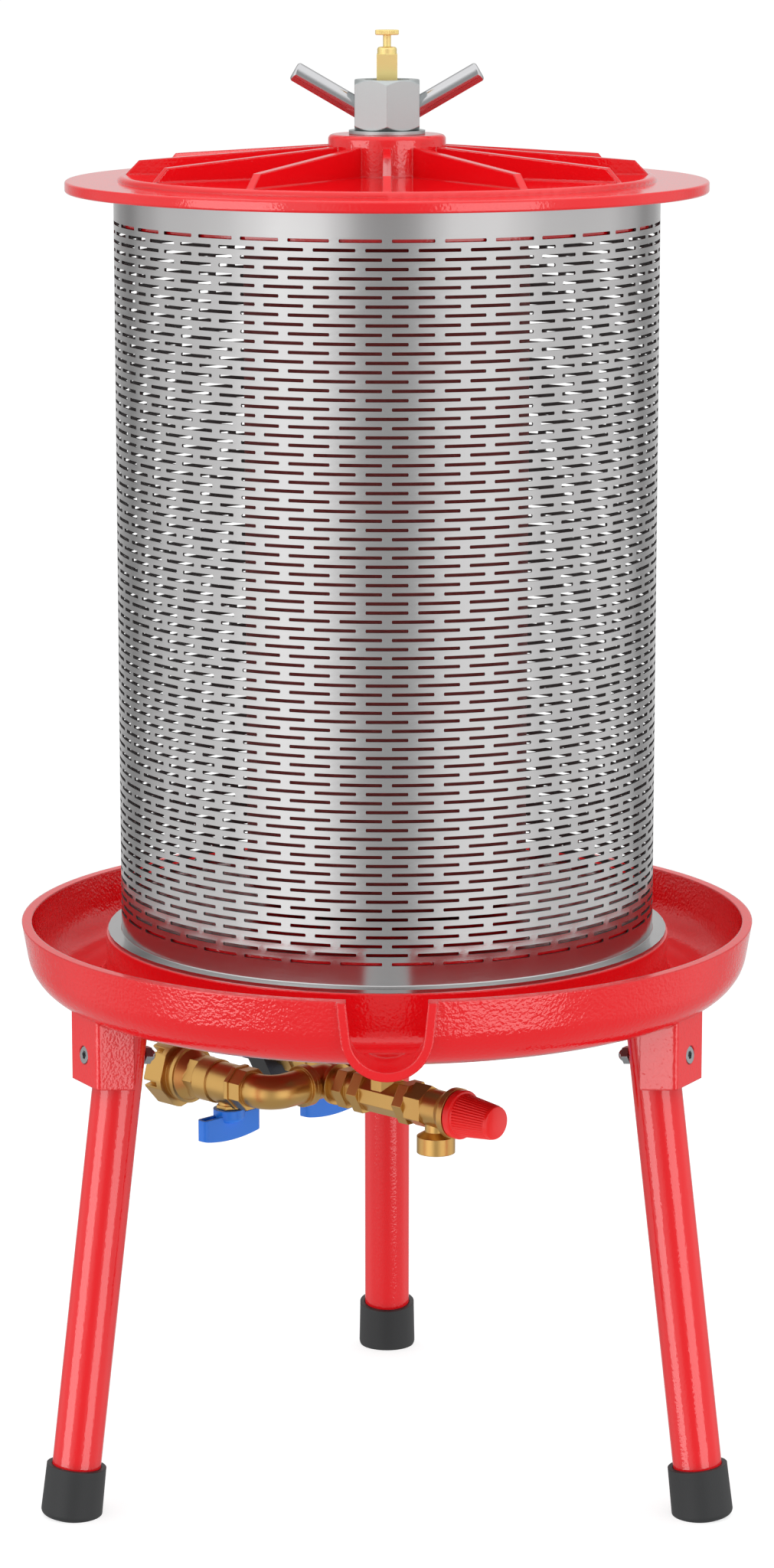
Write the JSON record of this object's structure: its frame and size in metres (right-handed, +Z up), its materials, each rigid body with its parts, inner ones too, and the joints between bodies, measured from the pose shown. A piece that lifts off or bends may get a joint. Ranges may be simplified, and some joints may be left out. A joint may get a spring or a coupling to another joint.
{
  "type": "hydraulic fruit press",
  "caption": "Water-powered fruit press: slotted steel basket around a rubber bladder, ribbed red lid on a threaded spindle, spouted tray on legs, brass valves below.",
  "frame": {"origin": "on the floor, at the middle of the outline seen from above; the spindle stands 6 mm toward the spout from it", "axes": "+Z up along the spindle, -Y toward the spout, +X to the right when the spout faces the viewer"},
  "size_m": [0.4534, 0.4708, 0.8946],
  "materials": {
    "red_coat": "gloss",
    "stainless": "brushed",
    "bright_steel": "polished",
    "brass": "satin",
    "blue_plastic": "gloss",
    "red_plastic": "gloss",
    "black_plastic": "matt",
    "seat_plastic": "matt",
    "foot_rubber": "matt",
    "seal_rubber": "matt",
    "bladder_rubber": "matt"
  },
  "bodies": {
    "stand": {"tray": "red_coat", "leg_left": "red_coat", "leg_right": "red_coat", "leg_back": "red_coat", "foot_left": "foot_rubber", "foot_right": "foot_rubber", "foot_back": "foot_rubber", "leg_bolts": "bright_steel", "leg_nuts": "bright_steel", "spindle": "stainless", "spindle_gasket": "seal_rubber", "spindle_locknut": "stainless", "bladder": "bladder_rubber", "bladder_clamp_bottom": "stainless", "bladder_clamp_top": "stainless", "bleed_valve_body": "brass", "centre_tee": "brass", "main_nipple": "brass", "side_tee": "brass", "inlet_elbow": "brass", "drain_elbow": "brass", "hose_coupling": "brass", "coupling_seal": "seal_rubber", "drain_nipple": "brass", "drain_connector": "black_plastic", "relief_valve_body": "brass", "inlet_valve_body": "brass", "inlet_valve_end": "brass", "inlet_ball_seats": "seat_plastic", "inlet_gland_nut": "brass", "drain_valve_body": "brass", "drain_valve_end": "brass", "drain_ball_seats": "seat_plastic", "drain_gland_nut": "brass"},
    "basket": {"basket": "stainless"},
    "lid": {"lid": "red_coat"},
    "washer": {"lid_washer": "stainless"},
    "nut": {"handle_nut": "stainless", "nut_handle_left": "bright_steel", "nut_handle_right": "bright_steel"},
    "bleed_seal": {"bleed_seal": "seal_rubber"},
    "bleed_screw": {"bleed_screw": "brass"},
    "inlet_turn": {"inlet_handle": "blue_plastic", "inlet_stem": "bright_steel", "inlet_ball": "bright_steel", "inlet_handle_screw": "bright_steel"},
    "drain_turn": {"drain_handle": "blue_plastic", "drain_stem": "bright_steel", "drain_ball": "bright_steel", "drain_handle_screw": "bright_steel"},
    "relief_cap": {"relief_valve_cap": "red_plastic"}
  },
  "joints": [
    {"name": "basket_lift", "type": "slide", "parent": "stand", "child": "basket", "axis": [0, 0, 1], "range_m": [0, 0.58]},
    {"name": "lid_lift", "type": "slide", "parent": "basket", "child": "lid", "axis": [0, 0, 1], "range_m": [0, 0.13]},
    {"name": "nut_rise", "type": "slide", "parent": "lid", "child": "washer", "axis": [0, 0, 1], "range_m": [0, 0.0301]},
    {"name": "nut_spin", "type": "hinge", "parent": "washer", "child": "nut", "pos_m": [0, -0.00643, 0.85], "axis": [0, 0, 1], "range_deg": [0, 3600]},
    {"name": "bleed_rise", "type": "slide", "parent": "stand", "child": "bleed_seal", "axis": [0, 0, 1], "range_m": [0, 0.00301]},
    {"name": "bleed_spin", "type": "hinge", "parent": "bleed_seal", "child": "bleed_screw", "pos_m": [0, -0.00643, 0.89], "axis": [0, 0, 1], "range_deg": [0, 1080]},
    {"name": "inlet_valve_turn", "type": "hinge", "parent": "stand", "child": "inlet_turn", "pos_m": [-0.10032, 0.02398, 0.2343], "axis": [0, 0, 1], "range_deg": [-90, 0]},
    {"name": "drain_valve_turn", "type": "hinge", "parent": "stand", "child": "drain_turn", "pos_m": [-0.03717, 0.08399, 0.2343], "axis": [0, 0, 1], "range_deg": [-90, 0]},
    {"name": "relief_cap_turn", "type": "hinge", "parent": "stand", "child": "relief_cap", "pos_m": [0.0544, -0.05805, 0.2343], "axis": [0.7254, -0.6884, 0], "range_deg": [0, 90]}
  ],
  "couplings": [
    {"joint": "nut_rise", "follows": "nut_spin", "m_per_rad": 0.00047746},
    {"joint": "bleed_rise", "follows": "bleed_spin", "m_per_rad": 0.00015915}
  ]
}
